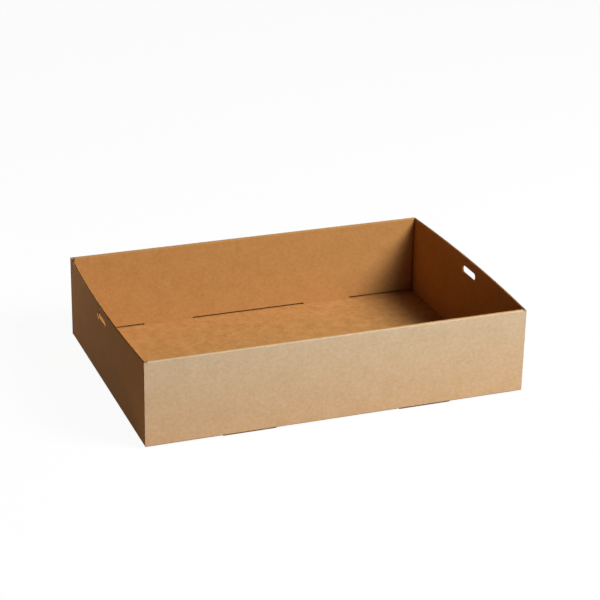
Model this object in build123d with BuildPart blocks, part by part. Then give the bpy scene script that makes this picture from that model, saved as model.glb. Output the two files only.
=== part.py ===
from build123d import *

import os

# Open catering tray folded from one die-cut sheet of kraft corrugated board, in millimetres.
# The long walls are rolled: an outer panel rises from the base, turns over a narrow ridge and comes down
# inside as a second panel, whose tabs lock into slots in the base. The short walls are single board with a
# finger slot each, and the flaps at their corners are tucked between the two panels of the long walls.
# X runs along the long walls, Z is up, and the origin is the middle of the footprint, under the tab ends.

# Outside of the tray
LENGTH = 359.0  # along X, between the outer faces of the short walls at their corners
WIDTH = 252.0  # along Y, between the outer faces of the long walls
HEIGHT = 80.0  # from the underside of the base to the top of the ridges

# Board
BOARD = 1.3  # thickness of the board
CREASE = 0.2  # inside radius of a crease
SLIP = 0.15  # room between layers of board that lie against each other

# Rolled long walls
INNER_LIFT = 2.2  # open line between the foot of an inner panel and the base
INNER_END_GAP = 2.5  # room between the end of an inner panel and the short wall
EAR_DROP = 0.6  # how far the ends of an outer panel, beside the ridge, stop below its top

# Tabs that lock the inner panels into the base
TAB_WIDTH = 50.0
TAB_SPACING = 167.0  # between the middles of a wall's two tabs
TAB_PROUD = 1.9  # how far a tab stands out under the base
TAB_CORNER = 1.5  # rounding of a tab's tip

# Short walls
END_DROP = 0.2  # top edge of a short wall below the ridge top
END_BOW = 4.0  # how far the middle of that edge bows out

# Finger slots
GRIP_LENGTH = 28.0
GRIP_HEIGHT = 7.0
GRIP_DEPTH = 12.4  # from the top edge of a short wall to the middle of its slot

# Corner flaps
FLAP_LENGTH = 70.0  # from the outer face of the short wall
FLAP_CHAMFER = 9.0  # cut-off corners at the free end

# Heights
half_board = BOARD / 2
base_under = TAB_PROUD
base_middle = base_under + half_board
base_top = base_under + BOARD
ridge_top = base_under + HEIGHT
end_top = ridge_top - END_DROP
inner_foot = base_top + INNER_LIFT

# Creases: the outside radius, and the radius along the middle of the board
bend = CREASE + BOARD
crease_middle = CREASE + half_board

# Ridge: room between the panels for a flap or for the two creases, and the flat between those creases
pocket = max(BOARD + 2 * SLIP, 2 * CREASE + SLIP)
ridge_flat = pocket - 2 * CREASE
outer_head = ridge_top - bend

# Places across the tray
half_length = LENGTH / 2
half_width = WIDTH / 2
outer_middle = half_width - half_board
flap_middle = half_width - BOARD - SLIP - half_board
inner_middle = outer_middle - BOARD - pocket
end_half = flap_middle - crease_middle
flap_foot = base_under + bend
flap_head = min(end_top, ridge_top - bend - SLIP)
inner_length = LENGTH - 2 * (BOARD + INNER_END_GAP)
ear_length = (LENGTH - inner_length) / 2 - SLIP

with BuildPart() as tray:
    # Short walls, from a straight foot to a top edge that bows out
    for end in (-1, 1):
        inside = end * (half_length - BOARD)
        outside = end * half_length
        bow = end * END_BOW
        with BuildSketch(Plane.XY.offset(flap_foot)):
            with BuildLine():
                Line((inside, -end_half), (outside, -end_half))
                Line((outside, -end_half), (outside, end_half))
                Line((outside, end_half), (inside, end_half))
                Line((inside, end_half), (inside, -end_half))
            make_face()
        with BuildSketch(Plane.XY.offset(end_top)):
            with BuildLine():
                Line((inside, -end_half), (outside, -end_half))
                ThreePointArc((outside, -end_half), (outside + bow, 0), (outside, end_half))
                Line((outside, end_half), (inside, end_half))
                ThreePointArc((inside, end_half), (inside + bow, 0), (inside, -end_half))
            make_face()
        loft()

    # Finger slot in each
    with BuildSketch(Plane.YZ):
        with Locations((0, end_top - GRIP_DEPTH)):
            SlotOverall(GRIP_LENGTH, GRIP_HEIGHT)
    extrude(amount=LENGTH, both=True, mode=Mode.SUBTRACT)

    for end in (-1, 1):
        # Crease from the base up into a short wall
        with BuildSketch(Plane.XZ):
            with BuildLine():
                JernArc(
                    (end * (half_length - bend), base_middle),
                    tangent=(end, 0),
                    radius=crease_middle,
                    arc_size=end * 90,
                )
            trace(line_width=BOARD)
        extrude(amount=end_half, both=True)

        # Corner flaps, each turned in from the short wall by an upright crease
        for side in (-1, 1):
            with BuildSketch(Plane.XY.offset(flap_foot)):
                with BuildLine():
                    JernArc(
                        (end * (half_length - half_board), side * end_half),
                        tangent=(0, side),
                        radius=crease_middle,
                        arc_size=end * side * 90,
                    )
                trace(line_width=BOARD)
            extrude(amount=flap_head - flap_foot)
            with BuildSketch(Plane.XZ.offset(-side * flap_middle)) as flap:
                with Locations((end * (half_length - (FLAP_LENGTH + bend) / 2), (flap_foot + flap_head) / 2)):
                    Rectangle(FLAP_LENGTH - bend, flap_head - flap_foot)
                chamfer(flap.vertices().sort_by(Axis.X, reverse=end < 0)[:2], length=FLAP_CHAMFER)
            extrude(amount=half_board, both=True)

    # Base, with a slot for each locking tab
    with BuildSketch(Plane.XY.offset(base_under)):
        Rectangle(LENGTH - 2 * bend, WIDTH - 2 * bend)
        with GridLocations(TAB_SPACING, 2 * inner_middle, 2, 2):
            Rectangle(TAB_WIDTH + 2 * SLIP, BOARD + 2 * SLIP, mode=Mode.SUBTRACT)
    extrude(amount=BOARD)

    for side in (-1, 1):
        # Outer panel of a long wall, folded up from the base
        with BuildSketch(Plane.YZ):
            with BuildLine():
                foot_crease = JernArc(
                    (side * (half_width - bend), base_middle),
                    tangent=(side, 0),
                    radius=crease_middle,
                    arc_size=side * 90,
                )
                Line(foot_crease @ 1, (side * outer_middle, outer_head))
            trace(line_width=BOARD)
        extrude(amount=half_length, both=True)

        # Its ears, which stand up straight beside the ends of the ridge
        with BuildSketch(Plane.XZ.offset(-side * outer_middle)):
            with Locations((0, (outer_head + ridge_top - EAR_DROP) / 2)):
                with GridLocations(LENGTH - ear_length, 0, 2, 1):
                    Rectangle(ear_length, ridge_top - EAR_DROP - outer_head)
        extrude(amount=half_board, both=True)

        # Ridge and inner panel, between the short walls
        with BuildSketch(Plane.YZ):
            with BuildLine():
                over = JernArc(
                    (side * outer_middle, outer_head),
                    tangent=(0, 1),
                    radius=crease_middle,
                    arc_size=side * 90,
                )
                ridge = PolarLine(over @ 1, ridge_flat, direction=over % 1)
                down = JernArc(ridge @ 1, tangent=ridge % 1, radius=crease_middle, arc_size=side * 90)
                Line(down @ 1, (side * inner_middle, inner_foot))
            trace(line_width=BOARD)
        extrude(amount=inner_length / 2, both=True)

        # Its tabs, through the base down to where the tray stands on them
        with BuildSketch(Plane.XY):
            with Locations((0, side * inner_middle)):
                with GridLocations(TAB_SPACING, 0, 2, 1):
                    Rectangle(TAB_WIDTH, BOARD)
        extrude(amount=inner_foot)

    tab_tips = tray.edges().filter_by(Axis.Y).group_by(Axis.Z)[0]
    fillet(tab_tips, radius=TAB_CORNER)

tray.part.label = "tray"
os.makedirs("parts", exist_ok=True)
export_step(tray.part, "parts/tray.step")
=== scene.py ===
"""Cardboard tray box: a die-cut blank of corrugated kraft board, folded into an open tray on a plain
studio stage."""

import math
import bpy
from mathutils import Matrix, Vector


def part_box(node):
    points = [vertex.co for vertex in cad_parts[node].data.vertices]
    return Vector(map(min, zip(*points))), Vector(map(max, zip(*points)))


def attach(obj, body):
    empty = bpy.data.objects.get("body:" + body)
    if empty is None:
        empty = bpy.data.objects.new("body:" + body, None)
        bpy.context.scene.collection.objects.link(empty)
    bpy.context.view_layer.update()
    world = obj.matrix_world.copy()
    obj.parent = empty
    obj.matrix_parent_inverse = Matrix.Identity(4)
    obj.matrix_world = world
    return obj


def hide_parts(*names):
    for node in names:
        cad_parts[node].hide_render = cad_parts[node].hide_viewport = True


bl_info = {
    "name": "Cardboard Tray Box",
    "version": (1, 0, 0),
    "blender": (4, 5, 0),
    "location": "3D View > Sidebar > Tray",
    "description": "Cuts a blank of kraft board, folds it into an open tray and sets a stage round it",
    "category": "Add Mesh",
}

from types import SimpleNamespace

import bmesh
import bpy
from bpy.props import FloatProperty, PointerProperty, StringProperty
from mathutils import Matrix, Vector

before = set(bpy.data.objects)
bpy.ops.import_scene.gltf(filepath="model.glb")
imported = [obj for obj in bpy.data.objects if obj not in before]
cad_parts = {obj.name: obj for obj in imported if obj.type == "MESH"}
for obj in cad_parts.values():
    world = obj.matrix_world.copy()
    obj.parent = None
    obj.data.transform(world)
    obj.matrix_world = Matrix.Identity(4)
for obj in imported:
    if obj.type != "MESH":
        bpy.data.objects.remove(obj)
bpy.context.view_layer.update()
TRAY_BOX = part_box("tray")

MM = 0.001
HAIR = 0.01 * MM  # less than any real size here
NEAR = 1.0 * MM  # more than a cut edge is moved, and less than the gap to the next panel

# Parts of the CAD box that are not the tray's nominal outside
TAB_PROUD = 1.9 * MM
END_BOW = 4.0 * MM

# Mesh of the blank
CREASE_PARTS = 6  # faces round a crease
SUPPORT = 0.5 * MM  # narrow faces beside a crease, which keep the panels flat to the eye
CRUSH = 2.0 * MM  # strip beside a crease in which the board gives
TAB_CORNER_PARTS = 4  # faces round the corner of a tab
GRIP_PARTS = 32  # corners round a finger slot
WINDOW = (9.0 * MM, 22.0 * MM)  # half the patch of a short wall that is rebuilt round its finger slot
GROOVE_TAPER = 0.05 * MM  # how much narrower the floor of the open fluting is on each side
SHARP_ANGLE = math.radians(40)  # edges that turn more than this are sharp
STEP_SLACK = 0.001  # share of a mesh step that rounding may add

# Patterns in the paper
CLOUD = 20.0 * MM  # clouds of pulp
BLOTCH = 10.0 * MM  # patches where the paper is rubbed
MOTTLE = 3.6 * MM  # knots of fibres
FIBRE = (5.0 * MM, 0.7 * MM)  # length and width of a fibre as drawn
FLECK_CELL = 14.0 * MM  # cells, some of which have a fleck of bark
FLECK_HEART = 0.01  # how far from its middle a fleck is full, in cells
FLECK_RIM = 0.08  # where it ends
FLECK_LEAST = 0.6  # cells with a lower chance than this have no fleck
FLECK_SHARE = 0.3  # how much a full fleck covers the paper
FLUTE_PITCH = 3.4 * MM  # from crest to crest of the fluting inside the board
TORN = 1.2 * MM  # torn fibres of the fluting

# How much each pattern lightens and darkens the paper, and what else changes its colour
CLOUD_TONE = 0.12
MOTTLE_TONE = 0.30
FIBRE_TONE = 0.18
BLOTCH_TONE = 0.32
RUBBED_GAIN = 0.5  # how much stronger the tone of rubbed paper is
# Painted shade along the creases, which also dims their highlight
CREASE_SHADE_TONE = -0.06
TONE_CAST = (1.0, 1.2, 1.8)  # darker paper is redder too
# Painted light on the outside of a long wall: cooler and lighter towards its head, warmer towards its foot
PAINTED_LIGHT_CAST = (0.0, 0.07, 0.15)  # from the middle of a long wall's outside to its head
WALL_RUB = 0.2  # how rubbed the inside of the walls is, where the base is 1

# Surface of uncoated paper and of torn fluting
PAPER_IOR = 1.47
PAPER_SPECULAR = 0.05  # open fibres scatter nearly all the light
PAPER_ROUGH = 0.74  # least roughness of the liner
MOTTLE_ROUGH = 0.16  # what the mottle adds to it
PAPER_RELIEF = 0.12 * MM  # height of the mottle
FIBRE_RELIEF = 0.6  # height of the fibres, where the mottle's is 1
RIPPLE_RELIEF = 0.04  # height of the ripple over the flutes, in the same way
FLUTING_TONE = 0.75  # darkest tone of the fluting
TORN_TONE = 0.5  # what its torn fibres add to it
FLUTING_ROUGH = 0.85  # least roughness of the fluting
TORN_ROUGH = 0.1  # what its torn fibres add to it
TORN_RELIEF = 0.1 * MM  # height of those fibres
RELIEF_STRENGTH = 0.6

# Where each lamp stands in metres, the side of its square, and its tint in linear red, green and blue
KEY_LAMP = ((1.162, -1.132, 1.496), 0.95, (1.0, 1.0, 1.0))  # high in front, to the right
FRONT_LAMP = ((0.4, -0.85, 0.7), 0.4, (0.55, 0.8, 1.0))  # weak and cool, on the front
LEFT_LAMP = ((-0.62, -0.64, 0.06), 0.3, (1.0, 0.5, 0.2))  # low and warm, on the left and front
BACK_LAMP = ((-0.42, 0.42, 0.08), 0.2, (1.0, 0.62, 0.4))  # low and warm, on the back end of the left
LAMP_AIM = (0.0, 0.0, 0.05)  # what they look at, in the middle of the tray

# Floor and camera, in metres
FLOOR_HALF = 4.0  # half the side of the floor
FLOOR_NEAR = 0.3  # up to here from its middle the floor throws light back on the tray
FLOOR_FAR = 0.6  # from here on it throws none
FLOOR_WHITE = (0.95, 0.95, 0.95, 1.0)  # floor as the camera sees it
FLOOR_GLOW = 0.95  # share of its own white in that
WHITE = (1.0, 1.0, 1.0, 1.0)
CAMERA_PLACE = (-0.57646, -1.53012, 0.75914)
CAMERA_TURN = (66.9909, -1.0139, -20.4798)  # degrees about X, Y and Z


def distance(name, description, default):
    """A length that the sidebar shows."""
    return FloatProperty(
        name=name,
        description=description,
        default=default,
        min=0.0,
        precision=4,
        unit="LENGTH",
        subtype="DISTANCE",
    )


def power(name, description, default):
    """The power of a lamp."""
    return FloatProperty(name=name, description=description, default=default, min=0.0, unit="POWER")


def hex_colour(name, description, default):
    """A colour as an sRGB hex value."""
    return StringProperty(name=name, description=description, default=default)


def linear(hex_value):
    """An sRGB hex value as linear red, green, blue and alpha."""
    parts = [int(hex_value[i : i + 2], 16) / 255 for i in (1, 3, 5)]
    return [p / 12.92 if p <= 0.04045 else ((p + 0.055) / 1.055) ** 2.4 for p in parts] + [1.0]


class TraySizes(bpy.types.PropertyGroup):
    """Sizes of the blank and of the folded tray."""

    length: distance(
        "Length",
        "Between the outer faces of the short walls at their corners",
        TRAY_BOX[1].x - TRAY_BOX[0].x - 2 * END_BOW,
    )
    width: distance(
        "Width",
        "Between the outer faces of the long walls",
        TRAY_BOX[1].y - TRAY_BOX[0].y,
    )
    height: distance(
        "Height",
        "From the underside of the base to the top of the ridges",
        TRAY_BOX[1].z - TRAY_BOX[0].z - TAB_PROUD,
    )
    board: distance("Board", "Thickness of the board", 1.3 * MM)
    liner: distance("Liner", "Lip that a liner leaves along a cut edge", 0.35 * MM)
    groove: distance("Groove", "Depth of the open fluting behind a cut edge", 0.8 * MM)
    slant: distance("Slant", "How far the cut through the outer liner slants down to the fluting", 0.6 * MM)
    crease_outside: distance("Crease outside", "Radius of a crushed crease on its outside", 0.9 * MM)
    crease_inside: distance("Crease inside", "Radius of a crushed crease on its inside", 0.1 * MM)
    slip: distance("Slip", "Room between layers that lie against each other", 0.15 * MM)
    inner_lift: distance("Inner lift", "Open line under an inner panel", 1.9 * MM)
    inner_end_gap: distance("Inner end gap", "Room at the ends of an inner panel", 1.9 * MM)
    ear_drop: distance("Ear drop", "How far an outer panel's ends stop below the ridge top", 0.2 * MM)
    tab_width: distance("Tab width", "Width of a locking tab", 50.0 * MM)
    tab_spacing: distance("Tab spacing", "Between the middles of a wall's two tabs", 167.0 * MM)
    tab_proud: distance("Tab proud", "How far a tab stands out under the base", TAB_PROUD)
    tab_corner: distance("Tab corner", "Rounding of a tab's tip", 1.5 * MM)
    end_drop: distance("End drop", "Top edge of a short wall below the ridge top", 0.2 * MM)
    end_bow: distance("End bow", "How far the middle of that edge bows out", END_BOW)
    grip_length: distance("Grip length", "Length of a finger slot", 28.0 * MM)
    grip_height: distance("Grip height", "Height of a finger slot", 7.0 * MM)
    grip_depth: distance("Grip depth", "From the top edge to the middle of a finger slot", 12.4 * MM)
    flap_length: distance("Flap length", "From the outer face of the short wall", 70.0 * MM)
    flap_chamfer: distance("Flap chamfer", "Cut-off corners of a flap", 9.0 * MM)
    mesh_step: distance("Mesh step", "Longest side of a face on the flat panels", 6.0 * MM)


class TrayColours(bpy.types.PropertyGroup):
    """Colours of the board."""

    outside: hex_colour("Outside liner", "Kraft liner on the outside of the tray", "#CBAF8C")
    # The inside liner's warmer, darker brown is partly painted shade and warm bounce light of the tray's
    # inside
    inside: hex_colour("Inside liner", "Kraft liner on the inside of the tray", "#B5824C")
    fluting: hex_colour("Fluting", "Brown paper of the fluting behind a cut edge", "#8C6239")
    fleck: hex_colour("Fleck", "Dark flecks of bark in the liner", "#7A5531")


class StageSettings(bpy.types.PropertyGroup):
    """Light and camera."""

    key_power: power("Key power", "Power of the key lamp", 74.0)
    front_power: power("Front power", "Power of the front lamp", 1.8)
    left_power: power("Left power", "Power of the low lamp on the left", 0.608)
    back_power: power("Back power", "Power of the low lamp behind", 0.432)
    floor: hex_colour("Floor", "Colour of the floor in the light that it throws back", "#8C6C42")
    lens: FloatProperty(
        name="Lens",
        description="Focal length in millimetres",
        default=114.24,
        unit="CAMERA",
    )


def flat_stops(panels, crease):
    """Places on the flat blank where each of these panels begins and ends, with a crease after it."""
    places = []
    at = 0.0
    before = 0.0
    for length, turn in panels:
        places.append(at)
        at += length - crease * (math.tan(before / 2) + math.tan(turn / 2))
        places.append(at)
        at += crease * turn
        before = turn
    return places


def measure(size):
    """Places that follow from the sizes, in the folded tray and on the flat blank."""
    m = SimpleNamespace()
    half_board = size.board / 2
    m.crease = (size.crease_outside + size.crease_inside) / 2
    m.crease_run = m.crease * math.pi / 2
    m.half_length = size.length / 2
    m.base_middle = size.tab_proud + half_board
    base_top = size.tab_proud + size.board
    ridge_top = size.tab_proud + size.height
    ridge_middle = ridge_top - half_board
    end_top = ridge_top - size.end_drop
    m.end_rise = end_top - m.base_middle
    outer_middle = size.width / 2 - half_board
    flap_middle = outer_middle - size.board - size.slip
    inner_middle = flap_middle - size.board - size.slip
    m.inner_half = m.half_length - size.board - size.inner_end_gap

    # Panels from corner to corner at the middle of the board, each with the turn of the crease after it
    turn = math.pi / 2
    base = (outer_middle, turn)
    m.across = [
        base,
        (ridge_middle - m.base_middle, turn),
        (outer_middle - inner_middle, turn),
        (ridge_middle, 0.0),
    ]
    m.ear = [base, (ridge_middle - m.base_middle, 0.0)]
    m.upright = [(m.half_length - half_board, turn), (m.end_rise, 0.0)]
    m.round_corner = [(flap_middle, turn), (size.flap_length - half_board, 0.0)]

    # The same panels on the flat blank
    across = flat_stops(m.across, m.crease)
    _, m.base_half_y, m.outer_foot, m.outer_head, m.ridge_out, m.ridge_in, m.inner_head, m.tab_tip = across
    _, m.base_half_x, m.end_foot, m.end_head = flat_stops(m.upright, m.crease)
    _, m.end_half, m.flap_start, m.flap_end = flat_stops(m.round_corner, m.crease)
    m.inner_foot = m.tab_tip - (base_top + size.inner_lift)
    m.ear_tip = m.outer_head + m.crease + half_board - size.ear_drop
    m.flap_low = m.end_foot + size.board + 2 * size.slip - half_board - m.crease
    m.flap_high = m.end_head - (end_top - (ridge_top - size.board - size.crease_inside - size.slip))
    m.flap_neck = m.flap_start + (m.half_length - half_board - m.crease) - (m.inner_half + size.slip)
    m.slot_middle = inner_middle
    m.slot_half = half_board + size.slip
    m.bow_radius = (m.end_half**2 + size.end_bow**2) / (2 * size.end_bow)
    return m


def ramp(value, low, high):
    """How far a value has come from low to high, from 0 to 1."""
    return min(1.0, max(0.0, (value - low) / (high - low)))


def follow(panels, far, lift, size, m):
    """Folded place, forward and up, of a point that lies this far along the panels and this high over the
    board's middle. The outside of a crease has a larger radius than its inside, and beside the crease the
    two faces slide on each other."""
    radius = m.crease - lift / size.board * (size.crease_outside - size.crease_inside)
    forward = 0.0
    up = lift
    heading = 0.0
    before = 0.0
    for length, turn in panels:
        flat = length - m.crease * (math.tan(before / 2) + math.tan(turn / 2))
        part = min(far, flat) if turn else far
        slide = m.crease - radius - lift
        zone = min(CRUSH, flat / 2)
        run = part + slide * math.tan(before / 2) * ramp(part, 0.0, zone)
        run += slide * math.tan(turn / 2) * ramp(part, flat - zone, flat)
        forward += run * math.cos(heading)
        up += run * math.sin(heading)
        far -= part
        if far <= 0:
            break
        part = min(far, m.crease * turn)
        angle = part / m.crease
        forward += radius * (math.sin(heading + angle) - math.sin(heading))
        up += radius * (math.cos(heading) - math.cos(heading + angle))
        heading += angle
        far -= part
        before = turn
        if far <= 0:
            break
    return forward, up


def fold(flat, size, m):
    """Folded place of a point of the flat blank, which lies inside up. Its z is its lift from the board's
    middle."""
    x, y, lift = flat
    far_x = abs(x)
    far_y = abs(y)
    end = math.copysign(1, x)
    side = math.copysign(1, y)
    out, up = follow(m.upright, far_x, lift, size, m)
    if far_x > m.base_half_x and (far_y < m.end_half + NEAR or far_x > m.half_length + HAIR):
        along, inward = follow(m.round_corner, far_y, lift, size, m)
        bow = math.sqrt(m.bow_radius**2 - min(far_y, m.end_half) ** 2) - (m.bow_radius - size.end_bow)
        place = out + lift - inward + bow * ramp(up, m.crease, m.end_rise)
        return Vector((end * place, side * along, m.base_middle + up))
    panels = m.ear if far_x > m.inner_half + size.slip / 2 else m.across
    along, up = follow(panels, far_y, lift, size, m)
    return Vector((end * (out if far_y <= m.base_half_y else far_x), side * along, m.base_middle + up))


def spaced(stops, step):
    """The stops, with equal parts no longer than the step between each two of them."""
    stops = sorted(stops)
    places = stops[:1]
    for low, high in zip(stops, stops[1:]):
        parts = max(1, math.ceil((high - low) / step - STEP_SLACK))
        places += [low + (high - low) * i / parts for i in range(1, parts + 1)]
    return places


def mirrored(places):
    """The places on both sides of zero, each once."""
    return sorted({round(side * p, 9) for p in places for side in (-1, 1)})


def lay_sheet(xs, ys):
    """A flat sheet with a line of edges at each of these places."""
    bm = bmesh.new()
    bmesh.ops.create_grid(bm, x_segments=len(xs) - 1, y_segments=len(ys) - 1, size=0.5)
    for v in bm.verts:
        v.co.x = xs[round((v.co.x + 0.5) * (len(xs) - 1))]
        v.co.y = ys[round((v.co.y + 0.5) * (len(ys) - 1))]
    return bm


def trim(bm, waste):
    """Cuts away the faces whose middle is waste."""
    gone = [f for f in bm.faces if waste(f.calc_center_median())]
    bmesh.ops.delete(bm, geom=gone, context="FACES")


def slice_off(bm, part, start, finish):
    """Cuts a part of the sheet along the line from start to finish, and takes off its right side."""
    faces = [f for f in bm.faces if part(f.calc_center_median())]
    edges = {e for f in faces for e in f.edges}
    verts = {v for f in faces for v in f.verts}
    along = Vector((*finish, 0)) - Vector((*start, 0))
    bmesh.ops.bisect_plane(
        bm,
        geom=[*faces, *edges, *verts],
        plane_co=(*start, 0),
        plane_no=along.cross(Vector((0, 0, 1))),
        clear_outer=True,
    )


def cut_base_and_long_walls(size, m, shared):
    """The middle strip of the blank: the base, and on both sides of it an outer panel, a ridge, an inner
    panel and its tabs."""
    tab_in = (size.tab_spacing - size.tab_width) / 2
    tab_out = (size.tab_spacing + size.tab_width) / 2
    ys = [*shared, m.base_half_y]
    creases = [
        [m.base_half_y, m.outer_foot],
        [m.outer_head, m.ear_tip, m.ridge_out],
        [m.ridge_in, m.inner_head],
    ]
    for places in creases:
        ys += spaced(places, m.crease_run / CREASE_PARTS)
    flats = [
        (m.outer_foot, m.outer_head),
        (m.inner_head, m.inner_foot),
        (m.inner_foot, m.tab_tip),
    ]
    for low, high in flats:
        ys += spaced([low, low + SUPPORT, high - SUPPORT, high], size.mesh_step)
    xs = spaced(
        [
            0.0,
            tab_in - size.slip,
            tab_in,
            tab_out,
            tab_out + size.slip,
            m.inner_half,
            m.inner_half + size.slip,
            m.base_half_x - SUPPORT,
            m.base_half_x,
            m.half_length,
        ],
        size.mesh_step,
    )
    bm = lay_sheet(mirrored(xs), mirrored(ys))

    def waste(middle):
        far_x = abs(middle.x)
        far_y = abs(middle.y)
        if far_y < m.base_half_y:
            in_slot = abs(far_y - m.slot_middle) < m.slot_half
            beside_tab = tab_in - size.slip < far_x < tab_out + size.slip
            return far_x > m.base_half_x or (in_slot and beside_tab)
        if far_y > m.inner_foot:
            return not tab_in < far_x < tab_out
        if far_x > m.inner_half + size.slip:
            return far_y > m.ear_tip
        return far_y > m.outer_head and far_x > m.inner_half

    trim(bm, waste)

    # The tips of the tabs are rounded
    tips = [v for v in bm.verts if abs(v.co.y) > m.tab_tip - HAIR and len(v.link_faces) == 1]
    bmesh.ops.bevel(
        bm,
        geom=tips,
        affect="VERTICES",
        offset=size.tab_corner,
        offset_type="OFFSET",
        segments=TAB_CORNER_PARTS,
        profile=0.5,
        material=-1,
    )
    return bm


def cut_short_walls(size, m, shared):
    """The end strips of the blank: a short wall with its finger slot, and a flap at each end of it."""
    grip = m.end_head - size.grip_depth
    xs = spaced([m.base_half_x, m.end_foot], m.crease_run / CREASE_PARTS)
    xs += spaced(
        [m.end_foot, m.flap_low, grip - WINDOW[0], grip + WINDOW[0], m.flap_high, m.end_head],
        size.mesh_step,
    )
    ys = [*shared, *spaced([m.end_half, m.flap_start], m.crease_run / CREASE_PARTS)]
    ys += spaced(
        [m.flap_start, m.flap_start + SUPPORT, m.flap_neck, m.flap_end - size.flap_chamfer, m.flap_end],
        size.mesh_step,
    )
    bm = lay_sheet(sorted(set(xs)), mirrored(ys))

    def waste(middle):
        far_y = abs(middle.y)
        top = m.end_head if far_y < m.flap_neck else m.flap_high
        return far_y > m.end_half and not m.flap_low < middle.x < top

    trim(bm, waste)

    # The cut-off corners of the flaps
    for side in (-1, 1):
        for level, lean in ((m.flap_low, 1), (m.flap_high, -1)):
            line = [
                (level + lean * size.flap_chamfer, side * m.flap_end),
                (level, side * (m.flap_end - size.flap_chamfer)),
            ]
            if lean * side > 0:
                line.reverse()
            slice_off(bm, lambda at: side * at.y > m.flap_end - size.flap_chamfer, *line)

    # The finger slot takes the place of a window of faces
    def in_window(at):
        return abs(at.x - grip) < WINDOW[0] + HAIR and abs(at.y) < WINDOW[1] + HAIR

    trim(bm, in_window)
    rim = [e for e in bm.edges if all(in_window(v.co) for v in e.verts)]
    start = Matrix.Translation((grip, 0, 0)) @ Matrix.Rotation(math.pi / GRIP_PARTS, 4, "Z")
    ring = bmesh.ops.create_circle(
        bm,
        segments=GRIP_PARTS,
        radius=size.grip_height / 2,
        matrix=start,
    )["verts"]
    for v in ring:
        v.co.y += math.copysign((size.grip_length - size.grip_height) / 2, v.co.y)
    rim += list({e for v in ring for e in v.link_edges})
    bmesh.ops.triangle_fill(bm, use_beauty=True, edges=rim, normal=(0, 0, 1))

    whole = [*bm.verts, *bm.edges, *bm.faces]
    bmesh.ops.mirror(bm, geom=whole, axis="X", merge_dist=0.0)
    return bm


def cut_blank(size, m):
    """The flat blank as one sheet of faces that look up."""
    shared = spaced(
        [
            0.0,
            WINDOW[1],
            m.slot_middle - m.slot_half,
            m.slot_middle + m.slot_half,
            m.end_half,
        ],
        size.mesh_step,
    )
    bm = cut_base_and_long_walls(size, m, shared)
    ends = cut_short_walls(size, m, shared)
    loose = bpy.data.meshes.new("short_walls")
    ends.to_mesh(loose)
    ends.free()
    bm.from_mesh(loose)
    bpy.data.meshes.remove(loose)
    bmesh.ops.remove_doubles(bm, verts=bm.verts, dist=HAIR / 5)
    for face in bm.faces:
        face.normal_update()
        if face.normal.z < 0:
            face.normal_flip()
    return bm


def slant(at, size, m):
    """How far the cut through a liner slants back into the board at this point of the groove's mouth. Only
    edges that show are slanted."""
    end = math.copysign(1, at.x)
    far_x = abs(at.x)
    far_y = abs(at.y)
    outside = at.z < 0
    back = Vector((0, 0, 0))
    if outside and far_x > m.end_head - HAIR:
        back.x = -end * size.slant

    # Round a finger slot, away from the middle of its round end or straight side
    half_straight = (size.grip_length - size.grip_height) / 2
    grip = m.end_head - size.grip_depth
    ray = Vector((far_x - grip, at.y - min(half_straight, max(-half_straight, at.y))))
    if abs(ray.length - size.grip_height / 2) < HAIR:
        back.xy = ray.normalized() * (size.slant if outside else size.liner)
        back.x *= end

    # Ends of an inner panel
    if abs(far_x - m.inner_half) < HAIR and far_y > m.outer_head + HAIR:
        back.x = -end * size.liner
    return back


def thicken(bm, size, m):
    """Gives the flat blank its thickness, and opens the fluting along its cut edges."""
    bmesh.ops.solidify(bm, geom=bm.faces[:], thickness=size.board)
    middle = (min(v.co.z for v in bm.verts) + max(v.co.z for v in bm.verts)) / 2
    bmesh.ops.translate(bm, verts=bm.verts, vec=(0, 0, -middle))
    bmesh.ops.recalc_face_normals(bm, faces=bm.faces)
    cut_edge = [f for f in bm.faces if abs(f.normal.z) < 0.5]
    mouth = list({v for f in cut_edge for v in f.verts})
    bmesh.ops.inset_region(bm, faces=cut_edge, thickness=size.liner, use_even_offset=True)
    walls = bmesh.ops.inset_region(
        bm,
        faces=cut_edge,
        thickness=GROOVE_TAPER,
        depth=-size.groove,
        use_even_offset=True,
    )["faces"]
    for v in mouth:
        v.co += slant(v.co, size, m)
    return cut_edge + walls


def add(tree, kind, inputs=None, **settings):
    """Adds a node with its settings. An input that is a socket is linked, and any other is set."""
    made = tree.nodes.new("ShaderNode" + kind)
    for name, value in settings.items():
        setattr(made, name, value)
    for key, value in (inputs or {}).items():
        if isinstance(value, bpy.types.NodeSocket):
            tree.links.new(value, made.inputs[key])
        else:
            made.inputs[key].default_value = value
    return made


def new_material(name):
    """An empty node material, and its tree."""
    material = bpy.data.materials.new(name)
    material.use_nodes = True
    material.node_tree.nodes.clear()
    return material, material.node_tree


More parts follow.
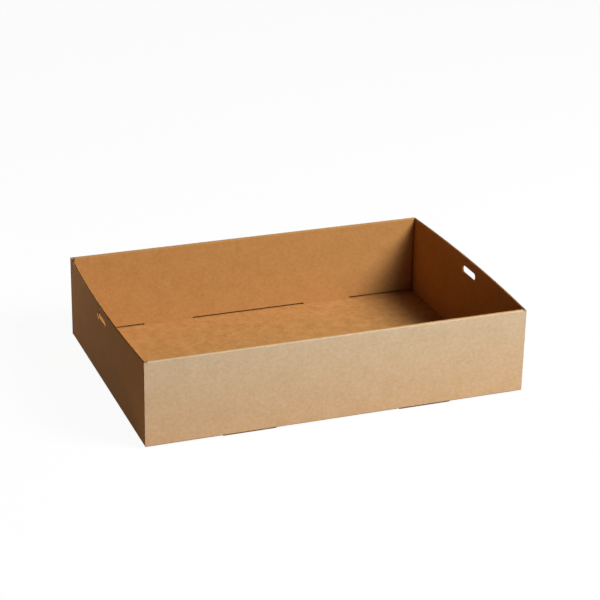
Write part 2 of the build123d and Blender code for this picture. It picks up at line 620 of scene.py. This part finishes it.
def kraft_liner(colour):
    """Uncoated kraft liner: matt brown paper, mottled by pale and dark fibres, with a few soft flecks of
    bark and a trace of the fluting under it. The eye sees beige outside and a warmer brown inside, which is
    partly painted shade and warm bounce light. The creases get painted shade, and the outside of a long
    wall gets painted light, lighter and cooler at its head and yellower at its foot."""
    material, tree = new_material("uncoated_kraft_liner")
    blank = add(tree, "Attribute", attribute_name="blank").outputs["Vector"]
    inward = add(tree, "Attribute", attribute_name="inward").outputs["Fac"]
    rubbed = add(tree, "Attribute", attribute_name="rubbed").outputs["Fac"]
    crease_shade = add(tree, "Attribute", attribute_name="crease_shade").outputs["Fac"]
    painted_wall_light = add(tree, "Attribute", attribute_name="painted_wall_light").outputs["Fac"]

    # Clouds, blotches and mottle
    cloud = add(tree, "TexNoise", {"Vector": blank, "Scale": 1 / CLOUD, "Detail": 2.0}).outputs["Fac"]
    blotch = add(tree, "TexNoise", {"Vector": blank, "Scale": 1 / BLOTCH, "Detail": 2.0}).outputs["Fac"]
    mottle = add(
        tree,
        "TexNoise",
        {"Vector": blank, "Scale": 1 / MOTTLE, "Detail": 3.0, "Roughness": 0.7},
    ).outputs["Fac"]

    # Fibres lie mostly across the flutes. Real ones are a tenth as wide as these, too fine to show
    along = add(
        tree,
        "VectorMath",
        {0: blank, 1: (1 / FIBRE[0], 1 / FIBRE[1], 1.0)},
        operation="MULTIPLY",
    )
    fibre = add(
        tree,
        "TexNoise",
        {"Vector": along.outputs["Vector"], "Scale": 1.0, "Detail": 3.0, "Distortion": 0.6},
    ).outputs["Fac"]

    # A soft fleck of bark in some of the cells, stronger in a few
    cells = add(tree, "TexVoronoi", {"Vector": blank, "Scale": 1 / FLECK_CELL})
    chance = add(tree, "SeparateColor", {"Color": cells.outputs["Color"]}).outputs["Red"]
    chosen = add(
        tree,
        "MapRange",
        {"Value": chance, "From Min": FLECK_LEAST, "From Max": 1.0},
    ).outputs["Result"]
    spot = add(
        tree,
        "MapRange",
        {"Value": cells.outputs["Distance"], "From Min": FLECK_RIM, "From Max": FLECK_HEART},
    ).outputs["Result"]
    fleck = add(tree, "Math", {0: spot, 1: chosen}, operation="MULTIPLY").outputs["Value"]
    fleck = add(tree, "Math", {0: fleck, 1: FLECK_SHARE}, operation="MULTIPLY").outputs["Value"]

    # The fluting shows through as a ripple
    across = add(tree, "SeparateXYZ", {"Vector": blank}).outputs["X"]
    phase = add(tree, "Math", {0: across, 1: 2 * math.pi / FLUTE_PITCH}, operation="MULTIPLY")
    ripple = add(tree, "Math", {0: phase.outputs["Value"]}, operation="SINE").outputs["Value"]

    # Lighter and darker tone of the paper, about zero. Rubbed paper has more of it,
    # and the creases get a painted shade
    level = -(CLOUD_TONE + MOTTLE_TONE + FIBRE_TONE) / 2
    tone = add(tree, "Math", {0: cloud, 1: CLOUD_TONE, 2: level}, operation="MULTIPLY_ADD").outputs["Value"]
    tone = add(
        tree,
        "Math",
        {0: mottle, 1: MOTTLE_TONE, 2: tone},
        operation="MULTIPLY_ADD",
    ).outputs["Value"]
    tone = add(tree, "Math", {0: fibre, 1: FIBRE_TONE, 2: tone}, operation="MULTIPLY_ADD").outputs["Value"]
    patchy = add(
        tree,
        "Math",
        {0: blotch, 1: BLOTCH_TONE, 2: -BLOTCH_TONE / 2},
        operation="MULTIPLY_ADD",
    ).outputs["Value"]
    patchy = add(
        tree,
        "Math",
        {0: tone, 1: RUBBED_GAIN, 2: patchy},
        operation="MULTIPLY_ADD",
    ).outputs["Value"]
    tone = add(tree, "Math", {0: patchy, 1: rubbed, 2: tone}, operation="MULTIPLY_ADD").outputs["Value"]
    tone = add(
        tree,
        "Math",
        {0: crease_shade, 1: CREASE_SHADE_TONE, 2: tone},
        operation="MULTIPLY_ADD",
    ).outputs["Value"]
    shade = add(
        tree,
        "VectorMath",
        {0: tone, 1: TONE_CAST, 2: (1.0, 1.0, 1.0)},
        operation="MULTIPLY_ADD",
    ).outputs["Vector"]
    # Painted light: the outside of a long wall is lighter and cooler at its head and yellower at its foot
    shade = add(
        tree,
        "VectorMath",
        {0: painted_wall_light, 1: PAINTED_LIGHT_CAST, 2: shade},
        operation="MULTIPLY_ADD",
    ).outputs["Vector"]

    paper = add(
        tree,
        "Mix",
        {0: inward, 6: linear(colour.outside), 7: linear(colour.inside)},
        data_type="RGBA",
    ).outputs[2]
    toned = add(tree, "VectorMath", {0: paper, 1: shade}, operation="MULTIPLY").outputs["Vector"]
    flecked = add(tree, "Mix", {0: fleck, 6: toned, 7: linear(colour.fleck)}, data_type="RGBA").outputs[2]

    # Matt, with fibres and fluting that can just be felt
    rough = add(
        tree,
        "Math",
        {0: mottle, 1: MOTTLE_ROUGH, 2: PAPER_ROUGH},
        operation="MULTIPLY_ADD",
    ).outputs["Value"]
    height = add(
        tree,
        "Math",
        {0: fibre, 1: FIBRE_RELIEF, 2: mottle},
        operation="MULTIPLY_ADD",
    ).outputs["Value"]
    height = add(
        tree,
        "Math",
        {0: ripple, 1: RIPPLE_RELIEF, 2: height},
        operation="MULTIPLY_ADD",
    ).outputs["Value"]
    bump = add(
        tree,
        "Bump",
        {"Strength": RELIEF_STRENGTH, "Distance": PAPER_RELIEF, "Height": height},
    ).outputs["Normal"]
    shader = add(
        tree,
        "BsdfPrincipled",
        {
            "Base Color": flecked,
            "Roughness": rough,
            "Normal": bump,
            "IOR": PAPER_IOR,
            "Specular IOR Level": PAPER_SPECULAR,
        },
    ).outputs["BSDF"]
    add(tree, "OutputMaterial", {"Surface": shader})
    return material


def cut_board(colour):
    """Cut edge of corrugated board: behind the two liners the torn brown fluting is darker and rougher."""
    material, tree = new_material("cut_corrugated_fluting")
    blank = add(tree, "Attribute", attribute_name="blank").outputs["Vector"]
    torn = add(tree, "TexNoise", {"Vector": blank, "Scale": 1 / TORN, "Detail": 3.0}).outputs["Fac"]
    tone = add(
        tree,
        "Math",
        {0: torn, 1: TORN_TONE, 2: FLUTING_TONE},
        operation="MULTIPLY_ADD",
    ).outputs["Value"]
    toned = add(tree, "VectorMath", {0: linear(colour.fluting)[:3], "Scale": tone}, operation="SCALE")
    rough = add(
        tree,
        "Math",
        {0: torn, 1: TORN_ROUGH, 2: FLUTING_ROUGH},
        operation="MULTIPLY_ADD",
    ).outputs["Value"]
    bump = add(
        tree,
        "Bump",
        {"Strength": RELIEF_STRENGTH, "Distance": TORN_RELIEF, "Height": torn},
    ).outputs["Normal"]
    shader = add(
        tree,
        "BsdfPrincipled",
        {
            "Base Color": toned.outputs["Vector"],
            "Roughness": rough,
            "Normal": bump,
            "IOR": PAPER_IOR,
            "Specular IOR Level": PAPER_SPECULAR,
        },
    ).outputs["BSDF"]
    add(tree, "OutputMaterial", {"Surface": shader})
    return material


def mark(flat, m):
    """How much of the inside's colour a point of the blank has, a colour that is partly painted shade, how
    rubbed it is, how much painted shade it gets beside a crease, and how much painted light it gets on the
    outside of a long wall, which is lighter and cooler at the head and yellower at the foot."""
    far_x = abs(flat.x)
    far_y = abs(flat.y)
    long_wall = far_x < m.half_length + HAIR and far_y > m.base_half_y - NEAR
    # The inside's colour is partly painted shade and warm bounce light. The inside face of the blank gets
    # it, and so does the face of the folded inner panel that looks into the tray, though its liner is the
    # outside one; there it runs in over the ridge from its outer crease. The tabs' faces that look out
    # under the base get the lighter outside colour, a painted light that eases their shade.
    if flat.z > 0:
        inward = 0.0 if long_wall and far_y > m.inner_foot + HAIR else 1.0
    else:
        inward = ramp(far_y, m.outer_head, m.ridge_in) if long_wall else 0.0
    rubbed = inward * (1.0 if far_x < m.base_half_x and far_y < m.base_half_y else WALL_RUB)

    # A band of painted shade along a crease, full on it and gone a support's width beyond it
    def crease_band(place, start):
        middle = start + m.crease_run / 2
        return 1 - ramp(abs(place - middle), m.crease_run / 2, m.crease_run / 2 + SUPPORT)

    if long_wall:
        crease_shade = max(crease_band(far_y, start) for start in (m.base_half_y, m.outer_head, m.ridge_in))
    else:
        crease_shade = max(crease_band(far_x, m.base_half_x), crease_band(far_y, m.end_half) if far_x > m.base_half_x else 0.0)

    # Painted light: the outside of a long wall goes from a yellower foot to a lighter, cooler head
    painted_wall_light = 0.0
    if long_wall and flat.z < 0:
        painted_wall_light = (2 * ramp(far_y, m.outer_foot, m.outer_head) - 1) * (1 - inward)
    return inward, rubbed, crease_shade, painted_wall_light


class TRAY_OT_folded_board(bpy.types.Operator):
    """Cuts the blank, gives it its thickness and folds it into the tray"""

    bl_idname = "tray.folded_board"
    bl_label = "Folded board"

    def execute(self, context):
        size = context.scene.tray_sizes
        colour = context.scene.tray_colours
        m = measure(size)
        bm = cut_blank(size, m)
        fluting = thicken(bm, size, m)
        for face in fluting:
            face.material_index = 1
        blank = bm.verts.layers.float_vector.new("blank")
        inward = bm.verts.layers.float.new("inward")
        rubbed = bm.verts.layers.float.new("rubbed")
        crease_shade = bm.verts.layers.float.new("crease_shade")
        painted_wall_light = bm.verts.layers.float.new("painted_wall_light")
        for v in bm.verts:
            v[blank] = v.co
            v[inward], v[rubbed], v[crease_shade], v[painted_wall_light] = mark(v.co, m)
            v.co = fold(v.co, size, m)
        bm.normal_update()
        mesh = bpy.data.meshes.new("folded_board")
        bm.to_mesh(mesh)
        bm.free()
        mesh.polygons.foreach_set("use_smooth", [True] * len(mesh.polygons))
        mesh.set_sharp_from_angle(angle=SHARP_ANGLE)
        mesh.materials.append(kraft_liner(colour))
        mesh.materials.append(cut_board(colour))
        board = bpy.data.objects.new("folded_board", mesh)
        context.scene.collection.objects.link(board)
        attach(board, "root")
        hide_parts("tray")
        return {"FINISHED"}


def seen_directly(tree):
    """1 for rays from the camera, by a mirror or through glass, and 0 for light on the object."""
    path = add(tree, "LightPath").outputs
    seen = add(tree, "Math", {0: path["Is Camera Ray"], 1: path["Is Glossy Ray"]}, operation="MAXIMUM")
    seen = add(tree, "Math", {0: seen.outputs[0], 1: path["Is Transmission Ray"]}, operation="MAXIMUM")
    return seen.outputs[0]


def soft_box(name, watts, place, side, tint):
    """A square studio lamp that looks at the tray."""
    lamp = bpy.data.lights.new(name, "AREA")
    lamp.size = side
    lamp.energy = watts
    lamp.color = tint
    box = bpy.data.objects.new(name, lamp)
    box.location = place
    box.rotation_euler = (Vector(LAMP_AIM) - Vector(place)).to_track_quat("-Z", "Y").to_euler()
    bpy.context.scene.collection.objects.link(box)


class TRAY_OT_stage(bpy.types.Operator):
    """Sets the floor, the studio light and the camera"""

    bl_idname = "tray.stage"
    bl_label = "Stage"

    def execute(self, context):
        scene = context.scene
        stage = scene.tray_stage
        scene.view_settings.view_transform = "Standard"

        # A white floor, of which the camera sees mostly its own white, with the tray's shadow on it. The
        # light that it throws back on the tray is tan, and comes only from near the tray
        bm = bmesh.new()
        bmesh.ops.create_grid(bm, x_segments=1, y_segments=1, size=FLOOR_HALF)
        mesh = bpy.data.meshes.new("floor")
        bm.to_mesh(mesh)
        bm.free()
        floor = bpy.data.objects.new("floor", mesh)
        scene.collection.objects.link(floor)
        material, tree = new_material("white_studio_paper")
        seen = seen_directly(tree)
        place = add(tree, "TexCoord").outputs["Object"]
        far = add(tree, "VectorMath", {0: place}, operation="LENGTH").outputs["Value"]
        near = add(
            tree,
            "MapRange",
            {"Value": far, "From Min": FLOOR_FAR, "From Max": FLOOR_NEAR},
        ).outputs["Result"]
        thrown = add(
            tree,
            "VectorMath",
            {0: linear(stage.floor)[:3], "Scale": near},
            operation="SCALE",
        ).outputs["Vector"]
        colour = add(tree, "Mix", {0: seen, 6: thrown, 7: FLOOR_WHITE}, data_type="RGBA").outputs[2]
        paper = add(tree, "BsdfDiffuse", {"Color": colour}).outputs["BSDF"]
        glow = add(tree, "Emission", {"Color": WHITE, "Strength": 1.0}).outputs["Emission"]
        share = add(tree, "Math", {0: seen, 1: FLOOR_GLOW}, operation="MULTIPLY").outputs[0]
        surface = add(tree, "MixShader", {0: share, 1: paper, 2: glow}).outputs["Shader"]
        add(tree, "OutputMaterial", {"Surface": surface})
        mesh.materials.append(material)

        # White behind the floor, which gives no light on the tray
        world = bpy.data.worlds.new("studio")
        world.use_nodes = True
        tree = world.node_tree
        tree.nodes.clear()
        white = add(tree, "Background", {"Color": WHITE, "Strength": seen_directly(tree)})
        add(tree, "OutputWorld", {"Surface": white.outputs["Background"]})
        scene.world = world

        soft_box("key_lamp", stage.key_power, *KEY_LAMP)
        soft_box("front_lamp", stage.front_power, *FRONT_LAMP)
        soft_box("left_lamp", stage.left_power, *LEFT_LAMP)
        soft_box("back_lamp", stage.back_power, *BACK_LAMP)

        lens = bpy.data.cameras.new("camera")
        lens.lens = stage.lens
        camera = bpy.data.objects.new("camera", lens)
        camera.location = CAMERA_PLACE
        camera.rotation_euler = [math.radians(turn) for turn in CAMERA_TURN]
        scene.collection.objects.link(camera)
        scene.camera = camera
        return {"FINISHED"}


class TRAY_PT_sidebar(bpy.types.Panel):
    """Sizes, colours and steps of the tray"""

    bl_label = "Cardboard tray"
    bl_space_type = "VIEW_3D"
    bl_region_type = "UI"
    bl_category = "Tray"

    def draw(self, context):
        scene = context.scene
        for group in (scene.tray_sizes, scene.tray_colours, scene.tray_stage):
            box = self.layout.box()
            for name in group.__annotations__:
                box.prop(group, name)
        for step in STEPS:
            self.layout.operator(step.bl_idname)


STEPS = (TRAY_OT_folded_board, TRAY_OT_stage)
CLASSES = (TraySizes, TrayColours, StageSettings, *STEPS, TRAY_PT_sidebar)


def register():
    """Adds the classes and the scene's settings."""
    for cls in CLASSES:
        bpy.utils.register_class(cls)
    bpy.types.Scene.tray_sizes = PointerProperty(type=TraySizes)
    bpy.types.Scene.tray_colours = PointerProperty(type=TrayColours)
    bpy.types.Scene.tray_stage = PointerProperty(type=StageSettings)


def unregister():
    """Takes them away again."""
    del bpy.types.Scene.tray_stage
    del bpy.types.Scene.tray_colours
    del bpy.types.Scene.tray_sizes
    for cls in reversed(CLASSES):
        bpy.utils.unregister_class(cls)


def main():
    """Builds the tray and its stage."""
    register()
    bpy.ops.tray.folded_board()
    bpy.ops.tray.stage()


if __name__ == "__main__":
    main()
